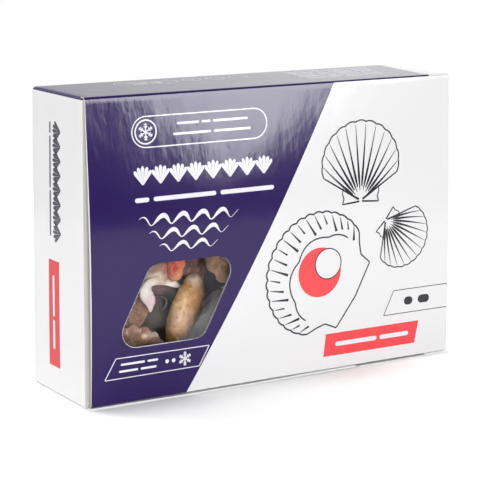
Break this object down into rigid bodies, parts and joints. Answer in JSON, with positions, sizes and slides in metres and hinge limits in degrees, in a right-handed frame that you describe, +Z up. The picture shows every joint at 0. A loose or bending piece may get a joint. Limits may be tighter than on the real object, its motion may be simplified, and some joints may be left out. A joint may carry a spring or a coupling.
{
  "type": "shut folding carton of frozen scallops in half shells",
  "caption": "Shut rectangular folding carton standing on a long narrow wall, with a slanted film window in its front that shows half-shell scallops inside.",
  "frame": {"origin": "middle of the carton's foot, on the surface that it stands on", "axes": "+Z up, +X along the front from left to right, -Y out of the printed front panel"},
  "size_m": [0.2378, 0.0697, 0.165],
  "materials": {
    "printed_board": "folding boxboard, printed indigo and white, satin varnish",
    "clear_film": "thin clear film, glossy",
    "roe_tan": "frozen tan lobe, moist, mottled",
    "roe_red": "frozen red-orange roe, moist",
    "flesh": "frozen cream-white flesh, moist",
    "mantle": "frozen mauve-brown mantle",
    "shell": "ribbed mauve-brown shell, dull with a thin ice glaze",
    "heap": "shaded inside of the heap"
  },
  "bodies": {
    "root": {"carton": "printed_board", "window_film": "clear_film", "roe_tan": "roe_tan", "roe_red": "roe_red", "flesh_cream": "flesh", "mantle_mauve": "mantle", "shell_high": "shell", "shell_left": "shell", "shell_low": "shell", "shell_right": "shell", "scallop_heap": "heap"}
  },
  "joints": []
}
